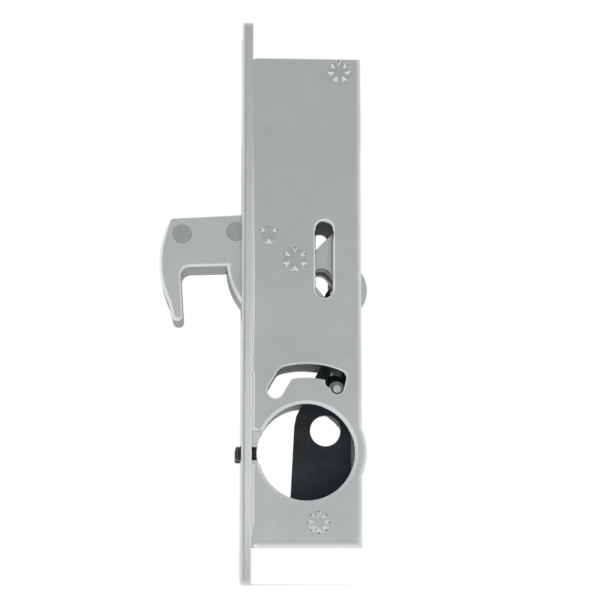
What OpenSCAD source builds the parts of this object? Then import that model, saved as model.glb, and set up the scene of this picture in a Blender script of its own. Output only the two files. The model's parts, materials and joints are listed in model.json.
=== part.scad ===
// Narrow mortise lock with a pivoting laminated hook bolt, shown locked.
// Origin: on the cylinder axis, halfway through the case. +X points into the door,
// +Z up, +Y from the near side plate to the far one. Millimetres.

/* [Case] */
// Thickness over the two side plates
case_t = 25.4; // [23:0.2:32]
// Thickness of a side plate
plate_t = 2.3; // [1.5:0.1:3]
// Height of the case
case_h = 152; // [150:1:170]
// How far the case reaches below the cylinder axis
case_below = 28.9; // [28:0.5:34]
// Cylinder axis to the rear edge of the side plates
rear_reach = 16.8; // [16.6:0.1:20]
// Thickness of the strip that closes the case
wall_t = 1.5; // [1:0.1:1.8]
// Corner radius of the side plates next to the faceplate
plate_corner_r = 1.2; // [0.5:0.1:3]

/* [Faceplate] */
// Cylinder axis to the outer face of the faceplate
backset = 19.9; // [19.5:0.1:22]
// Thickness of the faceplate
face_t = 3.2; // [2.5:0.1:3.6]
// Width of the faceplate
face_w = 25.4; // [24:0.2:32]
// How far the faceplate reaches past the case at the top
face_over_top = 11.6; // [11:0.1:16]
// How far the faceplate reaches past the case at the bottom
face_over_bottom = 11; // [11:0.1:16]
// Corner radius at the faceplate's ends
face_corner_r = 1.6; // [0.5:0.1:4]
// Distance of a door screw hole from the faceplate's end
door_hole_inset = 5.9; // [5.4:0.1:7]
// Radius of a door screw hole
door_hole_r = 2.8; // [2:0.1:3.2]
// Radius of a door screw's countersink
door_sink_r = 4.9; // [4:0.1:5.4]

/* [Cylinder hole] */
// Radius of the hole for the lock cylinder
cylinder_r = 14.68; // [13.5:0.02:15]
// Width of the shallow chamfer around the hole
cylinder_chamfer = 0.9; // [0.3:0.1:1.4]
// Metal left around the hole at the rear edge
cylinder_rim = 3.6; // [3:0.1:4.5]
// Radius of a cylinder set screw
set_screw_r = 2.35; // [2:0.05:2.7]
// Length of a cylinder set screw
set_screw_len = 6.4; // [6:0.1:8]
// How far a set screw stands out of the faceplate
set_screw_proud = 1.7; // [0.5:0.1:2.4]
// Height of the set screws above the cylinder axis
set_screw_z = -0.4; // [-3:0.1:1]

/* [Bolt] */
// Thickness of one bolt lamination
lamination_t = 3.4; // [2.8:0.1:3.5]
// Height of the bolt pivot above the cylinder axis
pivot_z = 59.2; // [58.8:0.1:60]
// Distance of the bolt pivot behind the faceplate's outer face
pivot_setback = 16.3; // [16:0.1:17]
// How far the hook stands out of the faceplate
hook_throw = 25.5; // [24:0.1:25.8]
// Radius of the heel, the arc that fills the faceplate slot while the bolt turns
heel_r = 21; // [20.4:0.1:21.4]
// Depth of the hook's point below the bolt pivot
hook_drop = 18.8; // [16:0.1:19.2]
// Height of the throat above the hook's point
throat_h = 16.9; // [14:0.1:17.6]
// Corner radius of the throat
throat_r = 2.8; // [1:0.1:4]
// Radius of the rivets that hold the laminations together
bolt_rivet_r = 2.9; // [2:0.1:3.2]
// Angle through which the bolt turns
bolt_swing = 98; // [94:1:99]
// Radius of the bush in the bolt's pivot hole
pivot_bush_r = 4.8; // [4.6:0.1:5]

/* [Posts] */
// Radius of the post that the bolt turns on
pivot_post_r = 3.9; // [3.4:0.05:4]
// Radius of the stop post inside the bolt's arc slot
stop_post_r = 3.1; // [2.6:0.05:3.2]
// Radius of the top post
top_post_r = 3.5; // [3:0.05:4]
// Radius of the bottom post that the lever turns on
bottom_post_r = 3.4; // [3:0.05:3.6]
// How far a staked post end stands out of its side plate
stake_proud = 0.3; // [0:0.05:0.6]

/* [Deadlock] */
// Thickness of the lever and of the link
link_t = 3; // [2.4:0.1:3.1]
// Half width of the curved slot in the side plates
arc_slot_half = 2.15; // [2.05:0.05:2.3]
// Radius of the deadlock pin
deadlock_r = 1.2; // [0.9:0.05:1.25]
// Radius of the deadlock pin's rollers
roller_r = 2.5; // [1.8:0.05:2.6]
// Radius of the pin that joins the lever and the link
link_rivet_r = 1.8; // [1.4:0.05:2]
// Radius of the link's cross pin in the bolt's tail slot
tail_pin_r = 1.5; // [1.2:0.05:1.55]
// Half width of the bolt's tail slot
tail_slot_half = 3.13; // [3.1:0.01:3.4]
// Radius of the sight hole in the lever
lever_hole_r = 4.8; // [3:0.1:5]
// Width of the tall slot in the side plates
tall_slot_w = 5.4; // [4:0.1:6]
// Height of the tall slot in the side plates
tall_slot_h = 24; // [16:0.5:26]

/* [Fits] */
// Radial clearance of a running fit
run_fit = 0.06; // [0.03:0.01:0.1]
// Gap between pieces that are fixed to each other
seat_gap = 0.02; // [0.01:0.01:0.05]
// Side gap between pieces that slide past each other
slide_gap = 0.2; // [0.15:0.05:0.3]

/* [Hidden] */
$fn = 96;

steel = [0.70, 0.72, 0.73];
bolt_steel = [0.66, 0.68, 0.69];
dark_steel = [0.16, 0.17, 0.18];
bright_steel = [0.80, 0.81, 0.82];

// How far a cutting cone runs past both ends of its cut
over = 0.02;
// How far a slot's round ends stand out past its sides, so that the two cross cleanly
ease = 0.001;

// Planes across the case, measured along Y
outer_y = case_t / 2;
inner_y = outer_y - plate_t;
bolt_half = 2.5 * lamination_t;

// Planes along X
face_x = -backset;
front_x = face_x + face_t;
wall_in_x = rear_reach - wall_t;

// Planes along Z
case_z0 = -case_below;
case_z1 = case_z0 + case_h;
face_z0 = case_z0 - face_over_bottom;
face_z1 = case_z1 + face_over_top;
face_h = face_z1 - face_z0;
door_hole_z = [face_z0 + door_hole_inset, face_z1 - door_hole_inset];

// Cylinder hole and the rounded bulge of the case behind it
bulge_r = cylinder_r + cylinder_rim;
chamfer_depth = cylinder_chamfer / 2;

// Bolt pivot and posts
pivot = [face_x + pivot_setback, pivot_z];
stop_dist = 11.2;
stop_angle = 136.5;
stop_post_at = pivot + stop_dist * [cos(stop_angle), sin(stop_angle)];
stop_play = 0.4;
top_post_inset = [6.6, 4.2];
top_post_at = [rear_reach - top_post_inset[0], case_z1 - top_post_inset[1]];
bottom_post_x = 3.6;
bottom_post_up = 7.7;
bottom_post_at = [bottom_post_x, case_z0 + bottom_post_up];

// Grooves that the staking tool leaves in the posts' ends
stake_w = 1.05;
stake_len = 0.45;
stake_tilt = 17;

// Hook bolt outline, seen from the near side with the bolt locked
flush_dist = pivot_setback - 0.2;
flush_angle = -82;
hook_r = 28.9;
hook_mid_z = pivot_z - 0.4;
hook_x = face_x - hook_throw;
point_r = 1.75;
point_z = pivot_z - hook_drop;
point_at = [hook_x + 5.8, point_z + point_r];
throat_z = point_z + throat_h;
throat_slope = 2;
blade_x = hook_x + 6.7;
body_x = pivot[0] + 6;
flank_z = point_z + 5.4;
flank_at = [hook_x + hook_r - sqrt(pow(hook_r, 2) - pow(hook_mid_z - flank_z, 2)), flank_z];
point_left = touch(flank_at, point_at, point_r, 1);
point_right = point_at + [point_r, 0];
top_slope = 3.5;
top_z_at_face = pivot_z + 14.6;
nose_r = 1.4;
nose_z = top_z_at_face - (hook_throw - 4) * tan(top_slope) - nose_r / cos(top_slope);
nose_at = [hook_x + hook_r - sqrt(pow(hook_r - nose_r, 2) - pow(nose_z - hook_mid_z, 2)), nose_z];
lobe_r = 18.2;
tail_notch = [body_x, pivot_z + 3];
tail_slope = 45.5;
tail_slot_at = pivot + [8.46, -5.1];
tail_slot_angle = -50;
tail_slot_len = 5.4;
neck_r = 6.5;

// Pressed bump of the rear wall that makes room for the bolt's tail
bump_r = 9.3;
bump_depth = 2;
bump_drop = 9.2;
bump_at = [rear_reach + bump_depth - bump_r, pivot_z - bump_drop];
bump_half = bolt_half + 0.6;

// Rivets through the laminations, from the faceplate's outer face and the pivot
rivet_proud = 0.15;
bolt_rivet_out = [18.5, 1.9];
bolt_rivet_up = [8.5, 9.4];
bolt_rivets = [for (i = [0, 1]) [face_x - bolt_rivet_out[i], pivot_z + bolt_rivet_up[i]]];

// Slot in the faceplate that the bolt swings through
bolt_gap = 0.4;
slot_reach = pivot_setback - face_t;
slot_z0 = pivot_z - sqrt(pow(heel_r, 2) - pow(slot_reach, 2)) - 0.7;
hook_reach = norm([point_at[0] - point_r, point_at[1]] - pivot);
slot_z1 = pivot_z + sqrt(pow(hook_reach, 2) - pow(slot_reach, 2)) + 0.8;

// Lever, link and deadlock pin
lever_y0 = lamination_t / 2 + slide_gap / 2;
lever_y1 = lever_y0 + link_t;
link_y0 = -lamination_t / 2 + slide_gap;
link_y1 = link_y0 + link_t;
link_foot_x = 11;
link_foot_up = 51.8;
link_foot = [link_foot_x, bottom_post_at[1] + link_foot_up];
tail_pin_reach = 6.5;
link_head = tail_slot_at + tail_pin_reach * [cos(tail_slot_angle), sin(tail_slot_angle)];
link_half = 2.1;
link_head_r = 2.7;
eye_r = 3.3;
lever_hub_r = 5.4;
lever_shoulder = [3.4, 24.1];
lever_cam_edge = [[-1.2, 14.5], [-2.4, 12.0], [-3.0, 9.0], [-4.3, -15.5], [-1, -22]];
lever_rear_edge = [[8.6, -22], [13.4, -12], [14.7, -5], [14.7, 14]];
lever_hole_at = [6.65, 7.4];
rivet_head_t = 0.9;
rivet_head_gap = 0.1;
rivet_head_over = 1;
lever_bush_wall = 1;
deadlock_centre = [-0.25, 14.6];
deadlock_path_r = 10.6;
deadlock_start = 26;
deadlock_at = deadlock_centre + deadlock_path_r * [cos(deadlock_start), sin(deadlock_start)];
deadlock_side_play = 0.85;
deadlock_rise = 6.3;
lever_slot_shift = 0.17;
lever_slot_below = 0.4;
roller_w = 1.1;
washer_r = 5.85;
washer_t = 0.8;
pin_inset = 0.5;

// Curved slot of the deadlock pin: radius of its centre line and its two ends
arc_slot_r = 24.8;
arc_right_end = [[9.3, 19.75], [10, 22.6]];
arc_right_relief = [7.6, 21.5];
arc_left_end = [[-9.6, 18.6], [-6.7, 23.5]];

// Tall slot in the side plates
tall_slot_at = [5.45, 59.4];

// Face screws and the lugs that they hold
lug_z = [case_z1 - 12, case_z0 + 5.6];
lug_depth = 7;
lug_h = [9, 7.2];
face_screw_r = 2;
face_screw_head_r = 3.8;
face_screw_len = 9;

// Clamp block for the cylinder set screws
clamp_y = 8.2;
clamp_depth = 3;
clamp_z0 = set_screw_z - 3.2;
clamp_z1 = set_screw_z + 6.7;
clamp_web = 0.7;
clamp_inset = 0.4;
clamp_cheek = 0.5;
clamp_notch = 3.5;
clamp_open = 1.2;
clamp_clear = 0.3;
hex_r = 1.3;

// Spring between the deadlock pin and the link's rivet
spring_wire_r = 0.25;
spring_coil_r = 1.1;
spring_turns = 3;
spring_steps = 12;
spring_sides = 6;
spring_gap = 0.1;
spring_seat_r = 0.6;
spring_seat_out = 1.1;
spring_seat_at = link_foot + spring_seat_out * (link_foot - bottom_post_at) / norm(link_foot - bottom_post_at);
spring_y = lever_y1 + slide_gap + washer_t + spring_coil_r + spring_wire_r + 2 * spring_gap;
spring_seat_y = spring_y + spring_coil_r + spring_wire_r;
spring_at = [
    (deadlock_at[0] + link_foot[0]) / 2, spring_y, deadlock_at[1] + deadlock_r + spring_wire_r + spring_gap
];
spring_pitch = (spring_seat_at[1] - spring_seat_r - spring_wire_r - spring_gap - spring_at[2]) / spring_turns;

// Where a line from a point touches a circle; side 1 is the left one, seen from the point
function touch(from, centre, r, side) =
    let (d = from - centre, a = atan2(d[1], d[0]) + side * acos(r / norm(d)))
    centre + r * [cos(a), sin(a)];

// A flat shape drawn in X and Z, given thickness from y0 to y1
module slab(y0, y1) {
    translate([0, y1, 0]) rotate([90, 0, 0]) linear_extrude(height = y1 - y0) children();
}

// A round bar along Y
module bar(at, r, y0, y1) {
    slab(y0, y1) translate(at) circle(r);
}

// A slot or strap with round ends from a to b
module strap(a, b, r) {
    d = b - a;
    translate(a) circle(r);
    translate(b) circle(r);
    translate(a) rotate(atan2(d[1], d[0])) translate([0, ease - r]) square([norm(d), 2 * (r - ease)]);
}

// A pie slice between two angles, at most 180 degrees
module slice(r, a0, a1) {
    far = 2 * r;
    am = (a0 + a1) / 2;
    polygon([[0, 0], far * [cos(a0), sin(a0)], far * [cos(am), sin(am)], far * [cos(a1), sin(a1)]]);
}

// An arc-shaped slot between two angles, with round ends
module arc_slot(r, half, a0, a1) {
    am = (a0 + a1) / 2;
    intersection() {
        difference() {
            circle(r + half);
            circle(r - half);
        }
        union() {
            slice(r + half, a0, am);
            slice(r + half, am, a1);
        }
    }
    for (a = [a0, a1]) translate(r * [cos(a), sin(a)]) circle(half + ease);
}

// Outline of a side plate with its two corners rounded at the faceplate
module plate_outline() {
    r = plate_corner_r;
    difference() {
        union() {
            translate([front_x, case_z0]) square([rear_reach - front_x, case_h]);
            circle(bulge_r);
        }
        ahead_of_front();
        translate([front_x, case_z0]) corner_cut(r, 0);
        translate([front_x, case_z1]) corner_cut(r, -90);
    }
}

// Everything in front of the case, near the cylinder hole
module ahead_of_front() {
    translate([front_x - 2 * bulge_r, -2 * bulge_r]) square([2 * bulge_r, 4 * bulge_r]);
}

// What a rounded corner takes off, for a corner at the origin opening to +X +Y
module corner_cut(r, turn) {
    rotate(turn) difference() {
        translate([-1, -1]) square(r + 1);
        translate([r, r]) circle(r);
    }
}

// Curved slot that guides the deadlock pin and holds it in a notch at each end
module deadlock_slot() {
    intersection() {
        difference() {
            circle(arc_slot_r + arc_slot_half);
            circle(arc_slot_r - arc_slot_half);
        }
        slice(arc_slot_r + arc_slot_half, 66, 106);
    }
    strap(arc_right_end[0], arc_right_end[1], arc_slot_half);
    translate(arc_right_relief) circle(arc_slot_half - 0.15);
    strap(arc_left_end[0], arc_left_end[1], arc_slot_half + 0.25);
}

// Openings that both side plates share
module plate_openings() {
    circle(cylinder_r);
    deadlock_slot();
    strap(tall_slot_at - [0, (tall_slot_h - tall_slot_w) / 2],
          tall_slot_at + [0, (tall_slot_h - tall_slot_w) / 2], tall_slot_w / 2);
    translate([front_x - 1, clamp_z0]) square([1 + clamp_depth + seat_gap, clamp_z1 - clamp_z0 + seat_gap]);
    translate(top_post_at) circle(top_post_r + seat_gap);
    translate(stop_post_at) circle(stop_post_r + seat_gap);
    translate(pivot) circle(pivot_post_r + seat_gap);
    translate(bottom_post_at) circle(bottom_post_r + seat_gap);
}

// Side plate in its own place; side is -1 for the near plate and 1 for the far one
module side_plate(side) {
    y_out = side * outer_y;
    y_in = side * inner_y;
    difference() {
        slab(min(y_out, y_in), max(y_out, y_in)) difference() {
            plate_outline();
            plate_openings();
        }
        translate([0, y_out, 0]) rotate([side * 90, 0, 0])
            translate([0, 0, -chamfer_depth]) cylinder(h = 3 * chamfer_depth,
                r1 = cylinder_r + 2 * cylinder_chamfer, r2 = cylinder_r - cylinder_chamfer);
    }
}

module side_plate_near() { color(steel) side_plate(-1); }
module side_plate_far() { color(steel) side_plate(1); }

// Strip that closes the top, the rear and the bottom of the case, hollowed where the top post touches it
module case_wall() {
    color(steel) difference() {
        slab(-inner_y, inner_y) difference() {
            union() {
                translate([front_x, case_z0]) square([rear_reach - front_x, case_h]);
                circle(bulge_r);
                translate(bump_at) circle(bump_r);
            }
            translate([front_x - 1, case_z0 + wall_t]) square([wall_in_x - front_x + 1, case_h - 2 * wall_t]);
            circle(bulge_r - wall_t);
            translate(top_post_at) circle(top_post_r + seat_gap);
            ahead_of_front();
        }
        slab(-bump_half, bump_half) translate(bump_at) circle(bump_r - wall_t);
    }
}

// Faceplate, drawn looking at its outer face: first Y, then Z
module faceplate() {
    color(bright_steel) difference() {
        translate([front_x, 0, 0]) rotate([90, 0, -90]) linear_extrude(height = face_t) difference() {
            face_outline();
            for (z = door_hole_z) translate([0, z]) circle(door_hole_r);
            for (z = lug_z) translate([0, z]) circle(face_screw_r + seat_gap);
            translate([-bolt_half - bolt_gap, slot_z0]) square([2 * (bolt_half + bolt_gap), slot_z1 - slot_z0]);
            for (s = [-1, 1]) translate([s * clamp_y, set_screw_z]) circle(set_screw_r + seat_gap);
        }
        for (z = door_hole_z) face_sink(z, door_hole_r, door_sink_r);
        for (z = lug_z) face_sink(z, face_screw_r + seat_gap, face_screw_head_r + seat_gap);
    }
}

module face_outline() {
    r = face_corner_r;
    w = face_w / 2;
    difference() {
        translate([-w, face_z0]) square([face_w, face_h]);
        translate([-w, face_z0]) corner_cut(r, 0);
        translate([w, face_z0]) corner_cut(r, 90);
        translate([w, face_z1]) corner_cut(r, 180);
        translate([-w, face_z1]) corner_cut(r, 270);
    }
}

// Countersink of a hole in the faceplate
module face_sink(z, r, sink_r) {
    translate([face_x - over, 0, z]) rotate([0, 90, 0])
        cylinder(h = sink_r - r + 2 * over, r1 = sink_r + over, r2 = r - over);
}

// Block that ties the side plates together and takes a faceplate screw
module lug(i) {
    color(steel) difference() {
        translate([front_x, -inner_y, lug_z[i] - lug_h[i] / 2]) cube([lug_depth, 2 * inner_y, lug_h[i]]);
        translate([front_x - 1, 0, lug_z[i]]) rotate([0, 90, 0]) cylinder(h = lug_depth + 2, r = face_screw_r + seat_gap);
    }
}

module upper_lug() { lug(0); }
module lower_lug() { lug(1); }

// Countersunk screws, flush in the faceplate
module faceplate_screws() {
    color(bright_steel) for (z = lug_z) translate([face_x, 0, z]) rotate([0, 90, 0]) difference() {
        union() {
            cylinder(h = face_screw_len, r = face_screw_r);
            cylinder(h = face_screw_head_r - face_screw_r, r1 = face_screw_head_r, r2 = face_screw_r);
        }
        translate([0, 0, -1]) cylinder(h = 2.2, r = hex_r, $fn = 6);
    }
}

// Block behind the faceplate that the cylinder set screws are threaded in, open towards the plates' cut-outs
module clamp_block() {
    half = outer_y - clamp_inset;
    gap_y = clamp_y - set_screw_r - clamp_cheek;
    color(bright_steel) difference() {
        translate([front_x, -half, clamp_z0 + seat_gap])
            cube([clamp_depth, 2 * half, clamp_z1 - clamp_z0 - seat_gap]);
        translate([front_x + clamp_web, -gap_y, clamp_z0 - 1])
            cube([clamp_depth, 2 * gap_y, clamp_z1 - clamp_z0 + 2]);
        translate([front_x - 1, -gap_y, clamp_z1 - clamp_notch])
            cube([clamp_depth + 2, 2 * gap_y, clamp_notch + 1]);
        for (s = [-1, 1]) {
            translate([front_x - 1, s * clamp_y, set_screw_z]) rotate([0, 90, 0])
                cylinder(h = clamp_depth + 2, r = set_screw_r + seat_gap);
            translate([front_x - 1, s * (clamp_y + clamp_open + outer_y) - outer_y, clamp_z0 - 1])
                cube([clamp_depth + 2, 2 * outer_y, set_screw_z + set_screw_r + clamp_cheek - clamp_z0 + 1]);
        }
        slab(-outer_y, outer_y) circle(cylinder_r + clamp_clear);
    }
}

// Set screws that press on the cylinders, with a hexagon socket in front
module cylinder_set_screws() {
    color(dark_steel) for (s = [-1, 1])
        translate([face_x - set_screw_proud, s * clamp_y, set_screw_z]) rotate([0, 90, 0]) difference() {
            union() {
                translate([0, 0, 0.4]) cylinder(h = set_screw_len - 0.8, r = set_screw_r);
                cylinder(h = 0.4, r1 = set_screw_r - 0.4, r2 = set_screw_r);
                translate([0, 0, set_screw_len - 0.4]) cylinder(h = 0.4, r1 = set_screw_r, r2 = set_screw_r - 0.4);
            }
            translate([0, 0, -1]) cylinder(h = 3.4, r = hex_r, $fn = 6);
        }
}

// Post from plate to plate; its ends stand a little proud and are staked with a ring of grooves
module post(at, r, grooves, turn) {
    half = outer_y + stake_proud;
    color(steel) difference() {
        bar(at, r, -half, half);
        for (side = [-1, 1], k = [0:grooves - 1]) translate([at[0], side * half, at[1]])
            rotate([0, turn + 360 * k / grooves, 0]) translate([r, 0, 0])
                rotate([0, 0, -side * stake_tilt]) rotate([45, 0, 0])
                    cube([2 * stake_len * r, stake_w, stake_w], center = true);
    }
}

module top_post() { post(top_post_at, top_post_r, 7, 10); }
module stop_post() { post(stop_post_at, stop_post_r, 3, 90); }
module pivot_post() { post(pivot, pivot_post_r, 6, 90); }
module bottom_post() { post(bottom_post_at, bottom_post_r, 8, 0); }

// Half plane below a line through a point, as a large square turned by an angle
module below_line(at, angle) {
    translate(at) rotate(angle) translate([-120, -120]) square([240, 120]);
}

// Outline of the hook and of the bolt's body, without the tail behind the pivot
module hook_outline() {
    difference() {
        union() {
            intersection() {
                union() {
                    translate([hook_x + hook_r, hook_mid_z]) circle(hook_r);
                    translate([hook_x + hook_r, pivot_z - 40]) square([40, 80]);
                }
                below_line([face_x, top_z_at_face], top_slope);
                translate([hook_x - 1, flank_z]) square([body_x - hook_x + 1, 60]);
            }
            polygon([flank_at, point_left, point_right, [blade_x, throat_z], [blade_x, flank_z]]);
            translate(point_at) circle(point_r);
        }
        nose_cut();
        throat();
    }
    intersection() {
        translate(pivot) circle(heel_r);
        translate([pivot[0] - heel_r, point_z]) square([body_x - pivot[0] + heel_r, throat_z - point_z + 1]);
        flush_side();
    }
}

// Rounds the hook's upper front corner
module nose_cut() {
    spoke = nose_at - [hook_x + hook_r, hook_mid_z];
    translate(nose_at) difference() {
        slice(4 * nose_r, 90 + top_slope, atan2(spoke[1], spoke[0]));
        circle(nose_r);
    }
}

// Opening between the hook's blade and its heel
module throat() {
    throat_top_z = throat_z + (body_x + 1 - blade_x - throat_r) * tan(throat_slope);
    difference() {
        polygon([
            point_right - [0, 10], point_right, [blade_x, throat_z - throat_r], [blade_x, throat_z],
            [blade_x + throat_r, throat_z], [body_x + 1, throat_top_z], [body_x + 1, point_z - 10]
        ]);
        translate([blade_x, throat_z]) mirror([0, 1]) corner_cut(throat_r, 0);
    }
}

// The side of the bolt that lies flush with the faceplate once the bolt is drawn in
module flush_side() {
    translate(pivot) rotate(flush_angle) translate([-120, -120]) square([120 + flush_dist, 240]);
}

// The tail behind the pivot, with room below the rear wall's bump
module tail_outline() {
    intersection() {
        union() {
            translate(pivot) circle(lobe_r);
            intersection() {
                translate(pivot) circle(heel_r);
                translate(pivot) slice(heel_r, -60, -17);
            }
        }
        flush_side();
        translate([pivot[0], pivot_z - 40]) square([60, 80]);
        below_line(tail_notch, tail_slope);
    }
}

// Openings that every lamination shares
module bolt_openings() {
    translate(pivot) circle(pivot_bush_r + seat_gap);
    translate(pivot) arc_slot(stop_dist, stop_post_r + stop_play, stop_angle, stop_angle + bolt_swing);
    for (at = bolt_rivets) translate(at) circle(bolt_rivet_r + seat_gap);
}

// Slot in the tail that the link's cross pin slides in
module tail_slot() {
    strap(tail_slot_at, tail_slot_at + tail_slot_len * [cos(tail_slot_angle), sin(tail_slot_angle)], tail_slot_half);
}

// Lamination number n, counted from the near side; the middle two stop short of the link
module lamination(n, short) {
    y0 = -bolt_half + (n - 1) * lamination_t;
    color(bolt_steel) slab(y0 + seat_gap / 2, y0 + lamination_t - seat_gap / 2) difference() {
        union() {
            hook_outline();
            if (short) intersection() {
                tail_outline();
                translate(pivot) circle(neck_r);
            }
            else tail_outline();
        }
        bolt_openings();
        if (short) tail_clearance();
        else tail_slot();
    }
}

// What the middle laminations leave free for the link's head in every position
module tail_clearance() {
    for (turn = [0, tail_slot_angle, -90])
        strap(tail_slot_at, tail_slot_at + 2 * heel_r * [cos(turn), sin(turn)], eye_r + bolt_gap);
}

module bolt_lamination_1() { lamination(1, false); }
module bolt_lamination_2() { lamination(2, false); }
module bolt_lamination_3() { lamination(3, true); }
module bolt_lamination_4() { lamination(4, true); }
module bolt_lamination_5() { lamination(5, false); }

module bolt_rivet(i) {
    color(bolt_steel) bar(bolt_rivets[i], bolt_rivet_r, -bolt_half - rivet_proud, bolt_half + rivet_proud);
}

module front_bolt_rivet() { bolt_rivet(0); }
module rear_bolt_rivet() { bolt_rivet(1); }

// Bush in the bolt that turns on the pivot post and keeps the bolt in the middle
module pivot_bush() {
    color(bright_steel) difference() {
        bar(pivot, pivot_bush_r, -inner_y + slide_gap, inner_y - slide_gap);
        bar(pivot, pivot_post_r + run_fit, -inner_y, inner_y);
    }
}

// Lever that the cylinder's cam swings to and fro
module lever() {
    color(dark_steel) slab(lever_y0, lever_y1) difference() {
        union() {
            polygon(concat(
                lever_rear_edge,
                [link_foot + [0.8 * eye_r, 0], link_foot, touch(lever_shoulder, link_foot, eye_r, -1)],
                [lever_shoulder],
                lever_cam_edge
            ));
            translate(link_foot) circle(eye_r);
            translate(bottom_post_at) circle(lever_hub_r);
        }
        translate(bottom_post_at) circle(bottom_post_r + run_fit + lever_bush_wall + seat_gap);
        translate(link_foot) circle(link_rivet_r + seat_gap);
        translate(lever_hole_at) circle(lever_hole_r);
        lever_slot();
    }
}

// Slot of the lever that carries the deadlock pin along and lets it rise
module lever_slot() {
    out = (deadlock_at - bottom_post_at) / norm(deadlock_at - bottom_post_at);
    side = [out[1], -out[0]];
    low = deadlock_at - lever_slot_below * out - lever_slot_shift * side;
    strap(low, low + (lever_slot_below + deadlock_rise) * out, deadlock_r + deadlock_side_play);
}

module lever_bush() {
    color(bright_steel) difference() {
        bar(bottom_post_at, bottom_post_r + run_fit + lever_bush_wall, -inner_y + slide_gap, inner_y - slide_gap);
        bar(bottom_post_at, bottom_post_r + run_fit, -inner_y, inner_y);
    }
}

// Link between the lever and the bolt's tail
module link() {
    color(dark_steel) slab(link_y0, link_y1) difference() {
        union() {
            strap(link_foot, link_head, link_half);
            translate(link_foot) circle(eye_r);
            translate(link_head) circle(link_head_r);
        }
        translate(link_foot) circle(link_rivet_r + run_fit);
        translate(link_head) circle(tail_pin_r + seat_gap);
    }
}

// Rivet between the lever and the link; the stud on its far end is the spring's seat
module link_rivet() {
    head_y = link_y0 - rivet_head_gap;
    color(steel) {
        bar(link_foot, link_rivet_r, head_y - rivet_head_t, lever_y1);
        bar(link_foot, link_rivet_r + rivet_head_over, head_y - rivet_head_t, head_y);
        bar(spring_seat_at, spring_seat_r, head_y, spring_seat_y);
    }
}

module tail_pin() { color(steel) bar(link_head, tail_pin_r, -bolt_half, bolt_half); }

// Collar that keeps the link against the near laminations
module tail_collar() {
    color(steel) difference() {
        bar(link_head, tail_pin_r + rivet_head_over, link_y1 + seat_gap, bolt_half - lamination_t - slide_gap);
        bar(link_head, tail_pin_r + seat_gap, link_y1 - 1, bolt_half);
    }
}

// Pin that drops into a notch of the curved slots at each end of its travel
module deadlock_pin() {
    color(steel) bar(deadlock_at, deadlock_r, -outer_y + pin_inset, outer_y - pin_inset);
}

// Washer on the deadlock pin that keeps it square in the lever's slot
module deadlock_washer() {
    y0 = lever_y1 + slide_gap;
    color(dark_steel) difference() {
        bar(deadlock_at, washer_r, y0, y0 + washer_t);
        bar(deadlock_at, deadlock_r + seat_gap, lever_y1, y0 + 2 * washer_t);
    }
}

module deadlock_rollers() {
    color(steel) for (side = [-1, 1]) {
        y_out = side * (inner_y - slide_gap);
        y_in = side * (inner_y - slide_gap - roller_w);
        difference() {
            bar(deadlock_at, roller_r, min(y_out, y_in), max(y_out, y_in));
            bar(deadlock_at, deadlock_r + seat_gap, -outer_y, outer_y);
        }
    }
}

// Ring number k of the deadlock spring, all of its corners
function spring_ring(k) =
    let (t = k / spring_steps, turn = 360 * t, out = [cos(turn), sin(turn), 0])
    [for (b = [0:spring_sides - 1])
        spring_at + spring_coil_r * out + [0, 0, t * spring_pitch]
        + spring_wire_r * (cos(360 * b / spring_sides) * out + sin(360 * b / spring_sides) * [0, 0, 1])];

// Coiled spring that presses the deadlock pin down into its notch
module deadlock_spring() {
    rings = spring_turns * spring_steps;
    m = spring_sides;
    color(steel) polyhedron(
        points = [for (k = [0:rings]) each spring_ring(k)],
        faces = concat(
            [[for (b = [0:m - 1]) m - 1 - b]],
            [for (k = [0:rings - 1], b = [0:m - 1])
                [k * m + b, k * m + (b + 1) % m, (k + 1) * m + (b + 1) % m]],
            [for (k = [0:rings - 1], b = [0:m - 1])
                [k * m + b, (k + 1) * m + (b + 1) % m, (k + 1) * m + b]],
            [[for (b = [0:m - 1]) rings * m + b]]
        )
    );
}

faceplate();
side_plate_near();
side_plate_far();
case_wall();
upper_lug();
lower_lug();
faceplate_screws();
clamp_block();
cylinder_set_screws();
top_post();
stop_post();
pivot_post();
bottom_post();
bolt_lamination_1();
bolt_lamination_2();
bolt_lamination_3();
bolt_lamination_4();
bolt_lamination_5();
front_bolt_rivet();
rear_bolt_rivet();
pivot_bush();
lever();
lever_bush();
link();
link_rivet();
tail_pin();
tail_collar();
deadlock_pin();
deadlock_rollers();
deadlock_washer();
deadlock_spring();
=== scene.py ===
"""Looks of the mortise hook lock: plated steel, black levers, plain floor, soft light."""
import json
import math

import bmesh
import bpy
from mathutils import Matrix, Vector
from mathutils.geometry import delaunay_2d_cdt


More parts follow.
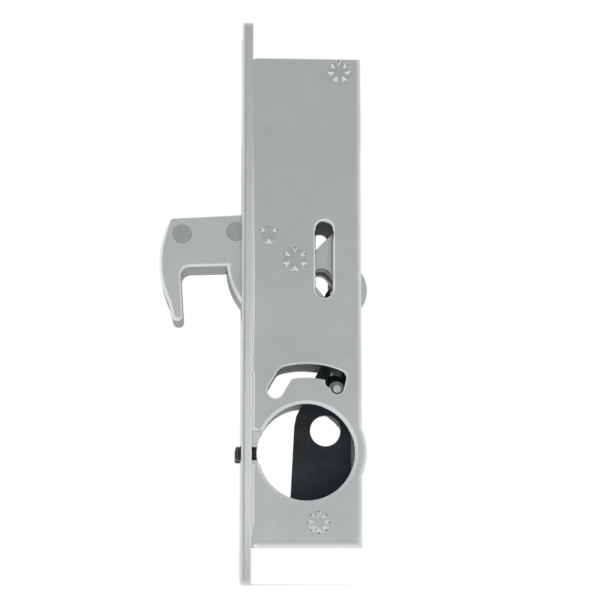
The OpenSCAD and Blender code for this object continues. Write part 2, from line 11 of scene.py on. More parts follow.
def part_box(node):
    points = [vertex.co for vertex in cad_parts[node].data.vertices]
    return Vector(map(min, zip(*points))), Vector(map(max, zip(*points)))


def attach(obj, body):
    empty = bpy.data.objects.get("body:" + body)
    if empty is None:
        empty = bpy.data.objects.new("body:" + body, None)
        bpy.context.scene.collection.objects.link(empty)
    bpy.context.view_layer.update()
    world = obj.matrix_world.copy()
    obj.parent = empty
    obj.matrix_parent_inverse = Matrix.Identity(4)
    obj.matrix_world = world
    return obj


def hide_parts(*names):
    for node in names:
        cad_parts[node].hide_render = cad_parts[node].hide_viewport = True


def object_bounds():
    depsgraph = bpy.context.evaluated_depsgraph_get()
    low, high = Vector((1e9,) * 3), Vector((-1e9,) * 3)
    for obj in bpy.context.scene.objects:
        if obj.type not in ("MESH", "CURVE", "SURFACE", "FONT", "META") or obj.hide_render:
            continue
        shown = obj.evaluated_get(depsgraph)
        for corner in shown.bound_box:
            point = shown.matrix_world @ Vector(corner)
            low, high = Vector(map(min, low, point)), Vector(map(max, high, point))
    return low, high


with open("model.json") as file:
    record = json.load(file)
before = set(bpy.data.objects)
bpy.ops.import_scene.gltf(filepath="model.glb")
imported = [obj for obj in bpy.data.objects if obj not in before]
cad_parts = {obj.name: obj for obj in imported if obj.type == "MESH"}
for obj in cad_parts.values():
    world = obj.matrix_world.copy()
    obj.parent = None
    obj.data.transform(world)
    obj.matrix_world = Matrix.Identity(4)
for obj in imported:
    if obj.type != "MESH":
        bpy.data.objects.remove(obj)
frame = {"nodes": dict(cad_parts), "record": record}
cad_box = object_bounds()
nodes = frame["nodes"]
scene = bpy.context.scene
MM = 0.001


class Tree:
    """A node tree, with short calls to add and join nodes."""

    def __init__(self, tree):
        self.tree = tree
        tree.nodes.clear()

    def add(self, kind, **values):
        """A new node; each value goes to the node's own setting or to its input of that name."""
        node = self.tree.nodes.new(kind)
        for key, value in values.items():
            if hasattr(node, key):
                setattr(node, key, value)
            else:
                node.inputs[key].default_value = value
        return node

    def link(self, a, b):
        self.tree.links.new(a, b)

    def feed(self, value, socket):
        """Gives an input a number, a colour of three parts or another node's output."""
        if isinstance(value, (int, float)):
            socket.default_value = value
        elif isinstance(value, tuple):
            socket.default_value = (*value, 1.0)
        else:
            self.link(value, socket)

    def math(self, operation, a, b=0.0, clamp=False):
        node = self.add("ShaderNodeMath", operation=operation, use_clamp=clamp)
        self.feed(a, node.inputs[0])
        self.feed(b, node.inputs[1])
        return node.outputs[0]

    def times(self, a, b):
        return self.math("MULTIPLY", a, b)

    def plus(self, a, b, clamp=False):
        return self.math("ADD", a, b, clamp=clamp)

    def remap(self, value, low, high, to_low=0.0, to_high=1.0, **how):
        """Runs from to_low to to_high while the value goes from low to high, and stays there beyond."""
        node = self.add("ShaderNodeMapRange", **how)
        self.link(value, node.inputs["Value"])
        for name, number in (("From Min", low), ("From Max", high), ("To Min", to_low), ("To Max", to_high)):
            node.inputs[name].default_value = number
        return node.outputs["Result"]

    def split(self, vector):
        """A vector's three parts."""
        node = self.add("ShaderNodeSeparateXYZ")
        self.link(vector, node.inputs["Vector"])
        return node.outputs


class Graph(Tree):
    """A material and its node tree."""

    def __init__(self, name):
        self.mat = bpy.data.materials.new(name)
        self.mat.use_nodes = True
        super().__init__(self.mat.node_tree)
        self.out = self.add("ShaderNodeOutputMaterial")
        self.bsdf = self.add("ShaderNodeBsdfPrincipled")
        self.link(self.bsdf.outputs["BSDF"], self.out.inputs["Surface"])

    def place(self):
        """The object coordinate's three parts, in metres."""
        return self.split(self.add("ShaderNodeTexCoord").outputs["Object"])

    def facing(self):
        """Parts of the surface's own direction, as the absolute values of X, Y and Z."""
        parts = self.split(self.add("ShaderNodeNewGeometry").outputs["Normal"])
        return [self.math("ABSOLUTE", parts[i]) for i in range(3)]

    def noise(self, scale, detail=3.0, rough=0.5):
        """Noise in object coordinates; scale is one number or one for each axis, per metre."""
        mapping = self.add("ShaderNodeMapping", Scale=scale if isinstance(scale, tuple) else (scale,) * 3)
        self.link(self.add("ShaderNodeTexCoord").outputs["Object"], mapping.inputs["Vector"])
        tex = self.add("ShaderNodeTexNoise", Scale=1.0, Detail=detail, Roughness=rough)
        self.link(mapping.outputs["Vector"], tex.inputs["Vector"])
        return tex.outputs["Fac"]

    def mix(self, factor, a, b):
        node = self.add("ShaderNodeMix", data_type="RGBA")
        for index, value in ((0, factor), (6, a), (7, b)):
            self.feed(value, node.inputs[index])
        return node.outputs[2]

    def finish(self, color, rough, height, strength, distance, metallic=1.0):
        """Joins colour, roughness and a bump from a height, and returns the material."""
        bump = self.add("ShaderNodeBump", Strength=strength, Distance=distance)
        self.link(height, bump.inputs["Height"])
        self.link(bump.outputs["Normal"], self.bsdf.inputs["Normal"])
        self.link(color, self.bsdf.inputs["Base Color"])
        self.link(rough, self.bsdf.inputs["Roughness"])
        self.bsdf.inputs["Metallic"].default_value = metallic
        return self.mat


def toned(color, factor):
    """A colour made darker or lighter."""
    return tuple(c * factor for c in color)


FINE_GRAIN = 5200
# Pale colours painted on rolled edges as highlights: on all of them, and on the side plates' front edge
PAINTED_RIM_HIGHLIGHT, PAINTED_FRONT_HIGHLIGHT = (0.93, 0.95, 0.95), (0.97, 0.98, 0.98)
# X of the side plates' front edge, where the painted front highlight starts and is full, in metres
PAINTED_FRONT_HIGHLIGHT_X = (-0.0148, -0.0155)


def plated_steel(name, light, dark, rough, grain=0.25, streak=0.12, along=(1, 1, 0.04), cut_and_shade=None,
                 rim=0.1, front_highlight=0.0):
    """Zinc-plated sheet: cloudy tone, fine satin grain and faint drawing lines along one axis.
    cut_and_shade darkens and roughens the faces left by shearing, which stand square to the sheet, partly as
    their own duller tone and partly as painted shade; rim paints a highlight on its rolled edges, and
    front_highlight one on those next to the faceplate."""
    g = Graph(name)
    cloud = g.noise(45, detail=4, rough=0.55)
    patch = g.noise(260, detail=3, rough=0.6)
    fine = g.noise(FINE_GRAIN, detail=2, rough=0.6)
    lines = g.noise(tuple(3600 * a for a in along), detail=3, rough=0.7)
    spots = g.remap(g.noise(620, detail=2), 0.64, 0.74)
    tone = g.plus(g.remap(cloud, 0.32, 0.68, 0.0, 0.8), g.remap(patch, 0.35, 0.65, 0.0, 0.2), clamp=True)
    color = g.mix(tone, dark, light)
    color = g.mix(g.remap(fine, 0.30, 0.70, 0.0, 0.16), color, toned(light, 1.18))
    color = g.mix(g.times(spots, 0.10), color, toned(dark, 0.72))
    r = g.remap(cloud, 0.3, 0.7, rough + 0.05, rough - 0.04)
    r = g.plus(r, g.remap(fine, 0.3, 0.7, -0.03, 0.03))
    height = g.plus(g.times(fine, grain), g.times(lines, streak))
    square_on = g.facing()[1]
    rolled_over = g.remap(square_on, 0.975, 0.86)
    # Painted highlight: rolled edges are lightened towards a pale colour, as far as rim says
    color = g.mix(g.times(rolled_over, rim), color, PAINTED_RIM_HIGHLIGHT)
    # Painted highlight on the side plates' front edge beside the faceplate, where the groove between plate and
    # faceplate really lies in shade
    if front_highlight:
        front = g.times(g.remap(g.place()[0], *PAINTED_FRONT_HIGHLIGHT_X, 0.0, front_highlight), g.remap(square_on, 0.997, 0.97))
        color = g.mix(front, color, PAINTED_FRONT_HIGHLIGHT)
    r = g.math("SUBTRACT", r, g.times(rolled_over, 0.08))
    if cut_and_shade is not None:
        # Faces square to the sheet are darkened and roughened: partly the steel's own duller, broken surface,
        # partly painted shade standing in for the shade on undersides such as the throat's ceiling
        sheared_and_shaded = g.remap(square_on, 0.07, 0.18, 1.0, 0.0)
        tears = g.noise((700, FINE_GRAIN, 700), detail=4, rough=0.7)
        torn_and_shaded = g.mix(g.remap(tears, 0.35, 0.65), toned(dark, cut_and_shade), toned(dark, cut_and_shade * 1.5))
        color = g.mix(sheared_and_shaded, color, torn_and_shaded)
        r = g.plus(r, g.times(sheared_and_shaded, 0.12))
        height = g.plus(height, g.times(g.times(tears, sheared_and_shaded), 1.2))
    return g.finish(color, r, height, 0.35, 0.00004)


def black_oxide(name, base, rough):
    """Blackened steel: dark blue-grey with small pale flecks where the sheet was rolled."""
    g = Graph(name)
    cloud = g.noise(160, detail=5, rough=0.65)
    fine = g.noise(3800, detail=3, rough=0.65)
    flecks = g.remap(g.noise(1500, detail=3, rough=0.7), 0.58, 0.78)
    color = g.mix(g.remap(cloud, 0.3, 0.7), toned(base, 0.7), toned(base, 1.5))
    color = g.mix(g.times(flecks, 0.35), color, (0.09, 0.095, 0.10))
    r = g.remap(cloud, 0.3, 0.7, rough + 0.08, rough - 0.06)
    return g.finish(color, r, fine, 0.3, 0.00003, metallic=0.4)


# Places on the faceplate, in metres: where the burnished front of its side ends, the painted highlight along
# its back edge, and the heights between which marks get stronger or weaker
BROKEN_X, BACK_HIGHLIGHT_X = (-0.01895, -0.01865), (-0.01710, -0.01695)
BROKEN_Z, BACK_HIGHLIGHT_Z, DARK_END_Z = (0.125, 0.000), (0.095, 0.045), (-0.020, -0.035)


def faceplate_steel():
    """Sheared bar: its long sides are burnished in front and finely broken behind, most so near the bottom,
    and its lower end is darker."""
    g = Graph("faceplate_steel")
    x, _, z = g.place()
    facing = g.facing()
    side = g.remap(facing[1], 0.90, 0.98)
    flat = g.math("MAXIMUM", side, g.remap(facing[0], 0.90, 0.98))
    wobble = g.times(g.math("SUBTRACT", g.noise((500, 500, 220), detail=3), 0.5), 0.0005)
    lower = g.remap(z, *BROKEN_Z, 0.30, 1.0)
    broken = g.times(g.times(side, g.remap(g.plus(x, wobble), *BROKEN_X)), lower)
    cloud = g.noise(70, detail=4, rough=0.6)
    fine = g.noise(FINE_GRAIN, detail=2, rough=0.6)
    tears = g.noise((2600, 2600, 3400), detail=4, rough=0.75)
    color = g.mix(g.remap(cloud, 0.3, 0.7), (0.60, 0.625, 0.625), (0.67, 0.695, 0.695))
    color = g.mix(g.times(side, 0.8), color, g.mix(lower, (0.60, 0.625, 0.63), (0.50, 0.52, 0.525)))
    color = g.mix(broken, color, g.mix(g.remap(tears, 0.30, 0.70), (0.64, 0.66, 0.67), (0.96, 0.97, 0.98)))
    end = g.times(g.remap(z, *DARK_END_Z, 0.0, 0.5), side)
    color = g.mix(end, color, g.mix(g.remap(tears, 0.35, 0.65), (0.30, 0.32, 0.32), (0.70, 0.72, 0.72)))
    color = g.mix(flat, (0.62, 0.64, 0.64), color)
    # Painted highlight: a pale line along the side's back edge, stronger low down
    back_highlight = g.times(g.remap(x, *BACK_HIGHLIGHT_X), g.remap(z, *BACK_HIGHLIGHT_Z, 0.15, 0.9))
    color = g.mix(g.times(back_highlight, side), color, (0.96, 0.97, 0.97))
    r = g.plus(g.remap(cloud, 0.3, 0.7, 0.36, 0.30), g.times(broken, 0.20))
    height = g.plus(g.times(fine, 0.2), g.times(g.times(tears, broken), 0.9))
    return g.finish(color, r, height, 0.5, 0.00006)


# The rim values and the front highlight paint highlights on rolled edges into the steels' colour
MATERIAL_OF = {
    "plate_steel": plated_steel(
        "plate_steel", (0.640, 0.664, 0.666), (0.540, 0.566, 0.570), 0.42, rim=0.45, front_highlight=0.6),
    # The bolt's faces square to the sheet are darkened, partly as painted shade
    "bolt_steel": plated_steel(
        "bolt_steel", (0.690, 0.715, 0.717), (0.570, 0.598, 0.602), 0.40, grain=0.35, streak=0.05, cut_and_shade=0.30,
        rim=0.25),
    "pin_steel": plated_steel(
        "pin_steel", (0.62, 0.64, 0.64), (0.56, 0.58, 0.58), 0.30, along=(1, 0.05, 1), rim=0.6),
    "bright_steel": plated_steel("bright_steel", (0.78, 0.80, 0.80), (0.70, 0.72, 0.72), 0.28),
    "black_steel": black_oxide("black_steel", (0.016, 0.021, 0.026), 0.46),
    "black_screw": black_oxide("black_screw", (0.030, 0.031, 0.034), 0.36),
    "faceplate_steel": faceplate_steel(),
}
RIVET = plated_steel(
    "rivet_steel", (0.485, 0.510, 0.512), (0.435, 0.458, 0.460), 0.38, grain=0.35, streak=0.05)
# Painted shade: a darker copy of the plated steel for the deadlock rollers, which lie in shade
SHADED_STEEL = plated_steel("shaded_steel", (0.25, 0.265, 0.265), (0.20, 0.21, 0.21), 0.5)

# Rounding of each node's sharp edges, in millimetres, and that of the nodes not named here
EDGE = {
    "case_wall": 0.12, "lever": 0.15, "link": 0.15,
    "top_post": 0.14, "stop_post": 0.14, "pivot_post": 0.14, "bottom_post": 0.14,
    "front_bolt_rivet": 0.5, "rear_bolt_rivet": 0.5,
}
OTHER_EDGE = 0.08
# Angles from which an edge is rounded, and is shaded as sharp on the set screws and the rolled pieces
SHARP_ANGLE, SCREW_SHARP_ANGLE = math.radians(40), math.radians(38)
SMOOTH_COS = math.cos(math.radians(35))

# Faces and outlines of the CAD pieces, in millimetres
PLATE_FACE, CLAMP_FACE = 12.7, 12.3
FACE_FRONT, FACE_BACK = -19.9, -16.7
FACE_HALF, FACE_BOTTOM, FACE_TOP = 12, -39, 134
FACE_SLOT_HALF, FACE_SLOT_Z = 8.9, (40, 104)
BOLT_HALF, SHEET, SHEET_GAP = 8.5, 3.4, 0.01
CASE_TOP, CASE_BOTTOM, CASE_REAR, CASE_FRONT, CLAMP_FRONT = 123.1, -28.9, 16.8, -15.0, -16.4
TALL_SLOT, TALL_SLOT_REACH = (5.45, 59.4), (3.2, 13)
CYLINDER_REACH = 16.2
ARC_SLOT_X, ARC_SLOT_Z = (-12.5, 13), (14.5, 28)
PIVOT, PIVOT_REACH, BUSH_REACH = Vector((-3.6, 59.2)), 15, 9
RIVETS, RIVET_REACH = (Vector((-38.4, 67.7)), Vector((-21.8, 68.6))), 3.2
# The hook's outline lies above HOOK_Z or left of HOOK_X; its nose is left of NOSE_X, and its roll grows
# downwards from NOSE_Z. Right of TAIL_X is the tail, and between TAIL_X and THROAT_X is the heel
HOOK_Z, HOOK_X, NOSE_X, NOSE_Z, NOSE_GROWTH = 64, -39.5, -36, 72.5, 6
TAIL_X, THROAT_X = -2, -26
# The side plates' front edge: where its strip starts and how far down it grows, the heights between
# which it is narrow beside the clamp block, where it ends, and the cuts that let its width change there
STRIP_START, STRIP_GROWTH = 100, 55
STRIP_NARROW, STRIP_END = (24, 29.3), -22
FRONT_STEPS = (100, 92, 84, 76, 68, 60, 52, 29.8, 28.8, 24.4, 23.6, -21.5, -22.5)
# Width, depth and curve of the rolls that are shallower than the rest
REAR_ROLL, STRIP_ROLL = (1.6, 0.55, 1.6), (0.95, 0.34, 1.1)


def plate_roll(at):
    """How wide a side plate's edge is rolled over at a point of its outer face, in millimetres.
    The front edge, beside the faceplate, is broken to a narrow flat strip instead."""
    x, z = at
    if abs(x - TALL_SLOT[0]) < TALL_SLOT_REACH[0] and abs(z - TALL_SLOT[1]) < TALL_SLOT_REACH[1]:
        return 0.8
    if at.length < CYLINDER_REACH:
        return 0.12
    if ARC_SLOT_X[0] < x < ARC_SLOT_X[1] and ARC_SLOT_Z[0] < z < ARC_SLOT_Z[1]:
        return 0.5
    if z > CASE_TOP - 0.3:
        return 0.5
    if z < CASE_BOTTOM + 0.3:
        return 1.5
    if x > CASE_REAR - 0.4:
        return REAR_ROLL
    if x < CASE_FRONT:
        if z > STRIP_NARROW[1]:
            grown = min(1.0, max(0.0, (STRIP_START - z) / STRIP_GROWTH))
        elif z > STRIP_NARROW[0]:
            grown = 0.4
        else:
            grown = 1.0 if z > STRIP_END else 0.0
        return STRIP_ROLL[0] * grown, STRIP_ROLL[1] * grown, STRIP_ROLL[2]
    return 0.0


def clamp_roll(at):
    """The clamp block's outer faces slope off towards the faceplate."""
    return 1.3 if at.x < CLAMP_FRONT else 0.1


def by_rivet(at):
    return min((at - centre).length for centre in RIVETS) < RIVET_REACH


def bolt_roll(at):
    """How wide the bolt's outer lamination is rolled over; the hook's curved front is the widest."""
    x, z = at
    from_pivot = (at - PIVOT).length
    if from_pivot < PIVOT_REACH or by_rivet(at):
        return 0.12 if from_pivot > BUSH_REACH or x < CASE_FRONT else 0.0
    if z > HOOK_Z or x < HOOK_X:
        grown = min(1.0, max(0.0, (NOSE_Z - z) / NOSE_GROWTH))
        return 0.45 + 0.8 * grown if x < NOSE_X else 0.45
    if x > TAIL_X:
        return 0.3
    return 1.35 if x > THROAT_X else 0.9


def inner_roll(at):
    """The laminations in the middle are only broken at their edges."""
    return 0.28 if (at - PIVOT).length > PIVOT_REACH and not by_rivet(at) else 0.0


def face_roll(at):
    """The faceplate's outline is rounded, its slot a little and its holes barely."""
    y, z = abs(at[0]), at[1]
    if y > FACE_HALF or z < FACE_BOTTOM or z > FACE_TOP:
        return 0.5
    in_slot = y < FACE_SLOT_HALF and FACE_SLOT_Z[0] < z < FACE_SLOT_Z[1]
    return 0.2 if in_slot or abs(y - FACE_SLOT_HALF) < 0.1 else 0.1


def face_back_roll(_):
    """The faceplate's back is only broken at its edges."""
    return 0.08


def loops_of(edges):
    """Sorts boundary edges into closed rings of vertices."""
    links = {}
    for edge in edges:
        for v, w in (edge.verts, reversed(edge.verts)):
            links.setdefault(v, []).append(w)
    rings = []
    while links:
        start = next(iter(links))
        ring, here, before = [start], links[start][0], start
        while here is not start:
            ring.append(here)
            here, before = next(v for v in links[here] if v is not before), here
        for v in ring:
            del links[v]
        rings.append(ring)
    return rings


# Sine of the turn at which a corner's two edges are moved by their own widths, and rounds of drawing together
SHARP_TURN, ROUNDS = 0.6, 30


def inset_points(flat, widths, out_of):
    """Moves a ring of flat points inwards by each edge's own width; out_of is 1 or -1, as the ring runs."""
    count = len(flat)
    moved = []
    for i in range(count):
        lines = []
        for a, b in ((i - 1, i), (i, (i + 1) % count)):
            along = (flat[b] - flat[a]).normalized()
            normal = Vector((-along.y, along.x)) * out_of
            lines.append((normal, normal.dot(flat[i]) - widths[a]))
        (n, c), (m, d) = lines
        turn = n.x * m.y - n.y * m.x
        if abs(turn) < SHARP_TURN:
            mean = (n + m).normalized()
            moved.append(flat[i] - mean * (widths[i - 1] + widths[i]) / 2 / mean.dot(n))
        else:
            moved.append(Vector(((c * m.y - d * n.y) / turn, (n.x * d - m.x * c) / turn)))
    return moved


def unfolded(flat, goal):
    """Draws together the moved points whose edge has turned round, at corners tighter than the roll."""
    count = len(flat)
    for _ in range(ROUNDS):
        turned = [k for k in range(count)
                  if (goal[(k + 1) % count] - goal[k]).dot(flat[(k + 1) % count] - flat[k]) < 0]
        for k in turned:
            goal[k] = goal[(k + 1) % count] = (goal[k] + goal[(k + 1) % count]) / 2
    return goal


def fill(bm, rings, u, v):
    """Closes a flat outline with its holes by triangles."""
    points = [p for ring in rings for p in ring]
    flat = [Vector((p.co[u], p.co[v])) / MM for p in points]
    sides, first = [], 0
    for ring in rings:
        sides += [(first + k, first + (k + 1) % len(ring)) for k in range(len(ring))]
        first += len(ring)

    def inside(x, y):
        """Whether a line to the right of a point meets the outline an odd number of times."""
        crossed = 0
        for a, b in ((flat[i], flat[k]) for i, k in sides):
            if (a.y > y) != (b.y > y):
                crossed += x < a.x + (y - a.y) * (b.x - a.x) / (b.y - a.y)
        return crossed % 2

    _, _, triangles, origin, _, _ = delaunay_2d_cdt(flat, sides, [], 1, 1e-6)
    for triangle in triangles:
        corners = [origin[i][0] for i in triangle]
        if inside(*(sum((flat[i] for i in corners), Vector((0, 0))) / 3)):
            bm.faces.new([points[i] for i in corners])


# How near a height counts as the same, and how near two corners count as one, in metres
SAME, WELD = 1e-7, 2e-6


def roll_face(bm, axis, level, side, rule, flatness=0.6, steps=6):
    """Rolls over the edges of one flat face, which stands square to an axis, ever steeper towards the edge;
    rule gives each edge's width, or its width, depth and curve; flatness is the depth for a width of one."""
    u, v = [i for i in range(3) if i != axis]
    level, side = level * MM, float(side)
    cap = {f for f in bm.faces if f.normal[axis] * side > 0.999
           and abs(f.calc_center_median()[axis] - level) < 0.02 * MM}
    rings = loops_of([e for f in bm.faces if f in cap for e in f.edges
                      if sum(g in cap for g in e.link_faces) == 1])
    flats = [[Vector((p.co[u], p.co[v])) for p in ring] for ring in rings]
    areas = [sum(a.x * b.y - b.x * a.y for a, b in zip(flat, flat[1:] + flat[:1])) / 2 for flat in flats]
    outer = max(range(len(rings)), key=lambda i: abs(areas[i]))
    bmesh.ops.delete(bm, geom=[f for f in bm.faces if f in cap], context="FACES_KEEP_BOUNDARY")

    def corner(at, height):
        co = [0.0, 0.0, 0.0]
        co[u], co[v], co[axis] = at.x, at.y, height
        return bm.verts.new(co)

    for i, (ring, flat) in enumerate(zip(rings, flats)):
        count = len(ring)
        out_of = (-1 if areas[i] > 0 else 1) * (1 if i == outer else -1)
        sizes = [rule((flat[k] + flat[(k + 1) % count]) / 2 / MM) for k in range(count)]
        sizes = [size if isinstance(size, tuple) else (size, size * flatness, 2) for size in sizes]
        widths = [size[0] * MM for size in sizes]
        if not any(widths):
            continue
        goal = unfolded(flat, inset_points(flat, widths, out_of))
        depths = [(sizes[k - 1][1] + sizes[k][1]) / 2 * MM for k in range(count)]
        curves = [min(sizes[k - 1][2], sizes[k][2]) for k in range(count)]
        rows = [ring]
        for step in range(1, steps + 1):
            part = step / steps
            rows.append([corner(flat[k].lerp(goal[k], part), level - side * depths[k] * (1 - part) ** curves[k])
                         for k in range(count)])
        for k, p in enumerate(ring):
            p.co[axis] = level - side * depths[k]
        for low, high in zip(rows, rows[1:]):
            for k in range(count):
                n = (k + 1) % count
                bm.faces.new((low[k], low[n], high[n], high[k]))

    def at_level(p):
        return abs(p.co[axis] - level) < SAME

    bmesh.ops.remove_doubles(bm, verts=[p for p in bm.verts if at_level(p)], dist=WELD)
    rim = [e for e in bm.edges if e.is_boundary and all(at_level(p) for p in e.verts)]
    fill(bm, loops_of(rim), u, v)


def corner_normals(bm, caps):
    """Normals for every face corner: flat up to where the rounding starts, smooth along walls and roundings."""
    axis = caps[0][0]
    area = {f: f.calc_area() for f in bm.faces}
    wall = {f: abs(f.normal[axis]) < 0.02 for f in bm.faces}
    normals = []
    for f in bm.faces:
        for v in f.verts:
            normal = sum((g.normal * area[g] for g in v.link_faces
                          if wall[g] == wall[f] and g.normal.dot(f.normal) > SMOOTH_COS), Vector())
            for _, level, side in caps:
                if not wall[f] and abs(v.co[axis] - level * MM) < SAME and f.normal[axis] * side > 0.3:
                    normal = Vector([float(side) if i == axis else 0.0 for i in range(3)])
            normals.append((normal if normal.length else f.normal).normalized())
    return normals


def show(name, mesh, node):
    """Puts a new mesh in place of a CAD node, on its body and in its slot."""
    piece = bpy.data.objects.new(name, mesh)
    scene.collection.objects.link(piece)
    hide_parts(node)
    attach(piece, BODY_OF[node])
    mesh.materials.append(MATERIAL_OF[SLOT_OF[node]])


def rolled(name, *faces):
    """A stamped piece as the CAD has it, with the edges of some of its faces rolled over."""
    bm = bmesh.new()
    bm.from_mesh(nodes[name].data)
    bmesh.ops.remove_doubles(bm, verts=bm.verts, dist=WELD)
    for z in FRONT_STEPS if name.startswith("side_plate") else ():
        bmesh.ops.bisect_plane(bm, geom=bm.verts[:] + bm.edges[:] + bm.faces[:], plane_co=(0, 0, z * MM),
                               plane_no=(0, 0, 1))
    for face in faces:
        roll_face(bm, *face)
    bmesh.ops.recalc_face_normals(bm, faces=bm.faces)
    for f in bm.faces:
        f.smooth = True
    mesh = bpy.data.meshes.new(name + "_rolled")
    normals = corner_normals(bm, [face[:3] for face in faces])
    bm.to_mesh(mesh)
    bm.free()
    mesh.normals_split_custom_set(normals)
    show(name + "_rolled", mesh, name)


def dress(name, slot):
    """Gives a CAD node its material, rounded edges and smooth shading."""
    obj = nodes[name]
    obj.data.materials.clear()
    obj.data.materials.append(OWN_LOOK.get(name, MATERIAL_OF[slot]))
    for poly in obj.data.polygons:
        poly.use_smooth = True
    weld = obj.modifiers.new("weld", "WELD")
    weld.merge_threshold = 1e-6
    if name in UNBEVELLED:
        return
    bevel = obj.modifiers.new("edges", "BEVEL")
    bevel.width = EDGE.get(name, OTHER_EDGE) * MM
    bevel.segments = 3
    bevel.limit_method = "ANGLE"
    bevel.angle_limit = SHARP_ANGLE
    bevel.use_clamp_overlap = True
    bevel.miter_outer = "MITER_ARC"
    normals = obj.modifiers.new("normals", "WEIGHTED_NORMAL")
    normals.keep_sharp = False
    normals.weight = 80


# A set screw's sizes in millimetres, and how finely its thread is drawn
SCREW_PLAY, PITCH, THREAD_DEPTH, THREAD_END = 0.01, 0.8, 0.34, 0.5
SOCKET_R, SOCKET_DEPTH, SOCKET_BREAK, DRILL_R, DRILL_DEPTH = 1.35, 3.2, 0.2, 0.35, 0.5
CUP_R, CUP_FLOOR_R, CUP_DEPTH = 1.55, 0.9, 0.5
AROUND, ROWS_PER_PITCH = 48, 10


def threaded_screw(bm, centre_y, centre_z, low, high, radius):
    """Adds a headless set screw along X: a real helical thread, a hexagon socket in front and a cup behind."""
    angles = [2 * math.pi * k / AROUND for k in range(AROUND)]

    def ring_at(x, radii):
        return [bm.verts.new((x * MM, (centre_y + r * math.cos(a)) * MM, (centre_z + r * math.sin(a)) * MM))
                for a, r in zip(angles, radii)]

    def thread_at(x):
        end = min(x - low, high - x)
        radii = []
        for k in range(AROUND):
            phase = ((x - low) / PITCH - k / AROUND) % 1.0
            tooth = min(1.0, max(0.0, abs(phase - 0.5) * 3.2 - 0.3))
            radii.append(min(radius - THREAD_DEPTH * tooth, radius - THREAD_END + end))
        return ring_at(x, radii)

    rows = int((high - low) / (PITCH / ROWS_PER_PITCH))
    thread = [thread_at(low + (high - low) * i / rows) for i in range(rows + 1)]
    sixth = math.pi / 3
    hexagon = [SOCKET_R * math.cos(sixth / 2) / math.cos((a + sixth / 2) % sixth - sixth / 2) for a in angles]
    mouth = [r + SOCKET_BREAK for r in hexagon]
    drill = [DRILL_R] * AROUND
    socket = [ring_at(low + deep, radii) for deep, radii in (
        (0.0, mouth), (SOCKET_BREAK, hexagon), (SOCKET_DEPTH, hexagon), (SOCKET_DEPTH + DRILL_DEPTH, drill))]
    cup = [ring_at(high - deep, [r] * AROUND) for deep, r in ((0.0, CUP_R), (CUP_DEPTH, CUP_FLOOR_R))]
    rings = socket[::-1] + thread + cup
    for a, b in zip(rings, rings[1:]):
        for k in range(AROUND):
            n = (k + 1) % AROUND
            bm.faces.new((a[k], a[n], b[n], b[k]))
    bm.faces.new(rings[0])
    bm.faces.new(rings[-1])


def set_screws(node):
    """Both cylinder set screws, as one piece in place of the plain node."""
    low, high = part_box(node)
    radius = (high.z - low.z) / 2 / MM - SCREW_PLAY
    middle_z = (high.z + low.z) / 2 / MM
    bm = bmesh.new()
    for side in (-1, 1):
        threaded_screw(bm, side * (high.y / MM - radius), middle_z, low.x / MM, high.x / MM, radius)
    bmesh.ops.recalc_face_normals(bm, faces=bm.faces)
    for f in bm.faces:
        f.smooth = True
    for e in bm.edges:
        e.smooth = not (len(e.link_faces) == 2 and e.calc_face_angle(0) > SCREW_SHARP_ANGLE)
    mesh = bpy.data.meshes.new("set_screws")
    bm.to_mesh(mesh)
    bm.free()
    show("set_screws", mesh, node)


UNBEVELLED = ("deadlock_spring",)
# The deadlock rollers take the darker copy of the steel as painted shade
OWN_LOOK = {"deadlock_rollers": SHADED_STEEL, "front_bolt_rivet": RIVET, "rear_bolt_rivet": RIVET}
SLOT_OF = {sub["node"]: sub["material_slot"] for sub in frame["record"]["subparts"]}
BODY_OF = {node: body for body, members in frame["record"]["behaviour"]["bodies"].items() for node in members}
# The axis, level and side of each face with rolled edges, the rule of its roll and how steep it is
ROLLED = {
    "side_plate_near": [(1, -PLATE_FACE, -1, plate_roll)],
    "side_plate_far": [(1, PLATE_FACE, 1, plate_roll)],
    "faceplate": [(0, FACE_FRONT, -1, face_roll, 1.3), (0, FACE_BACK, 1, face_back_roll)],
    "clamp_block": [(1, -CLAMP_FACE, -1, clamp_roll, 0.4), (1, CLAMP_FACE, 1, clamp_roll, 0.4)],
}
for index in range(5):
    near, far = index * SHEET - BOLT_HALF + SHEET_GAP, (index + 1) * SHEET - BOLT_HALF - SHEET_GAP
    ROLLED[f"bolt_lamination_{index + 1}"] = [
        (1, near, -1, bolt_roll if index == 0 else inner_roll),
        (1, far, 1, bolt_roll if index == 4 else inner_roll)]

set_screws("cylinder_set_screws")
for node_name, slot_name in SLOT_OF.items():
    if node_name in ROLLED:
        rolled(node_name, *ROLLED[node_name])
    else:
        dress(node_name, slot_name)

# Camera, fitted to the outline of the case, the holes and the hook, with hardly any shift
EYE = Vector((-0.02838, -0.49752, -0.02762))
YAW, PITCH = 0.05418, 0.13280
camera_data = bpy.data.cameras.new("camera")
camera = bpy.data.objects.new("camera", camera_data)
scene.collection.objects.link(camera)
forward = Vector((math.sin(YAW) * math.cos(PITCH), math.cos(YAW) * math.cos(PITCH), math.sin(PITCH)))
right = Vector((math.cos(YAW), -math.sin(YAW), 0))
up = right.cross(forward)
camera.matrix_world = Matrix((
    (right.x, up.x, -forward.x, EYE.x), (right.y, up.y, -forward.y, EYE.y), (right.z, up.z, -forward.z, EYE.z),
    (0, 0, 0, 1)))
camera_data.sensor_width = 36
camera_data.lens = 96.05
camera_data.shift_y = 0.05
camera_data.clip_start = 0.01
camera_data.clip_end = 20
scene.camera = camera


LAMP_TARGET = Vector((0, 0, 0.05))


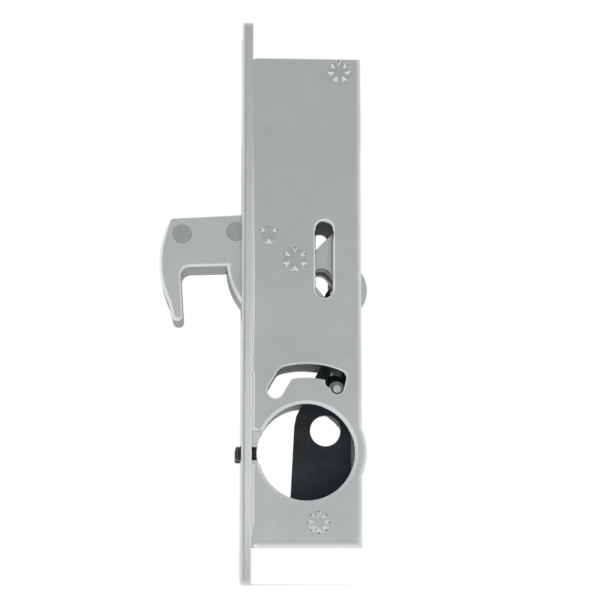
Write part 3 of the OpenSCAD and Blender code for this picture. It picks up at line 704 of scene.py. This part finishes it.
def area(name, at, size, power, size_y=None):
    """A soft lamp aimed at the lock, which stays out of its mirror image."""
    light = bpy.data.lights.new(name, "AREA")
    light.energy = power
    light.size = size
    if size_y:
        light.shape = "RECTANGLE"
        light.size_y = size_y
    obj = bpy.data.objects.new(name, light)
    scene.collection.objects.link(obj)
    obj.location = at
    obj.rotation_euler = (LAMP_TARGET - Vector(at)).to_track_quat("-Z", "Y").to_euler()
    obj.visible_glossy = False


area("key", (-0.55, -0.45, 0.65), 0.7, 6)
area("side", (0.75, -0.15, 0.25), 0.6, 3, size_y=0.9)
area("top", (0.0, 0.1, 0.95), 0.7, 4)

# The room's strength behind the camera and elsewhere, and its share overhead
ROOM_DIM, ROOM_BRIGHT, OVERHEAD = 0.71, 1.45, 0.75


def studio():
    """A room that is dim behind the camera, bright at both sides and white behind the object."""
    world = bpy.data.worlds.new("studio")
    scene.world = world
    world.use_nodes = True
    g = Tree(world.node_tree)
    out = g.add("ShaderNodeOutputWorld")
    blend = g.add("ShaderNodeMixShader")
    room = g.add("ShaderNodeBackground")
    white = g.add("ShaderNodeBackground", Color=(1, 1, 1, 1), Strength=1.0)
    path = g.add("ShaderNodeLightPath")
    soft = {"interpolation_type": "SMOOTHSTEP"}
    _, y, z = g.split(g.add("ShaderNodeTexCoord").outputs["Generated"])
    sides = g.remap(y, -0.97, -0.35, ROOM_DIM, ROOM_BRIGHT, **soft)
    high = g.remap(z, 0.25, 0.85, 1.0, OVERHEAD, **soft)
    g.link(g.times(sides, high), room.inputs["Strength"])
    behind = g.remap(y, 0.05, 0.45, **soft)
    bounced = g.plus(path.outputs["Is Glossy Ray"], path.outputs["Is Transmission Ray"])
    seen = g.plus(path.outputs["Is Camera Ray"], g.times(bounced, behind), clamp=True)
    g.link(seen, blend.inputs["Fac"])
    g.link(room.outputs["Background"], blend.inputs[1])
    g.link(white.outputs["Background"], blend.inputs[2])
    g.link(blend.outputs["Shader"], out.inputs["Surface"])


studio()

FLOOR_REACH, FLOOR_GAP = 3.0, 0.0002
# How far from the middle the floor starts to run into the room, how much at first, and where it ends
FADE_START, FADE_END, FADE_LEAST = 0.03, 0.22, 0.62


def floor_white():
    """White floor that keeps the object's shadow near it and runs into the white room further off."""
    g = Graph("floor_white")
    path = g.add("ShaderNodeLightPath")
    glow = g.add("ShaderNodeEmission", Strength=1.0)
    blend = g.add("ShaderNodeMixShader")
    x, y, _ = g.place()
    off = g.math("SQRT", g.plus(g.times(x, x), g.times(y, y)))
    g.link(g.mix(g.noise(900, detail=2), (0.87, 0.87, 0.87), (0.89, 0.89, 0.89)), g.bsdf.inputs["Base Color"])
    g.bsdf.inputs["Roughness"].default_value = 0.8
    bounced = g.plus(path.outputs["Is Glossy Ray"], path.outputs["Is Transmission Ray"])
    seen = g.times(path.outputs["Is Camera Ray"], g.remap(off, FADE_START, FADE_END, FADE_LEAST, 1.0))
    g.link(g.plus(seen, bounced, clamp=True), blend.inputs["Fac"])
    g.link(g.bsdf.outputs["BSDF"], blend.inputs[1])
    g.link(glow.outputs["Emission"], blend.inputs[2])
    g.link(blend.outputs["Shader"], g.out.inputs["Surface"])
    return g.mat


floor_z = cad_box[0][2] - FLOOR_GAP
floor_mesh = bpy.data.meshes.new("floor")
floor_mesh.from_pydata(
    [(x * FLOOR_REACH, y * FLOOR_REACH, floor_z) for x, y in ((-1, -1), (1, -1), (1, 1), (-1, 1))],
    [], [(0, 1, 2, 3)])
floor = bpy.data.objects.new("floor", floor_mesh)
scene.collection.objects.link(floor)
floor_mesh.materials.append(floor_white())

scene.view_settings.view_transform = "Standard"
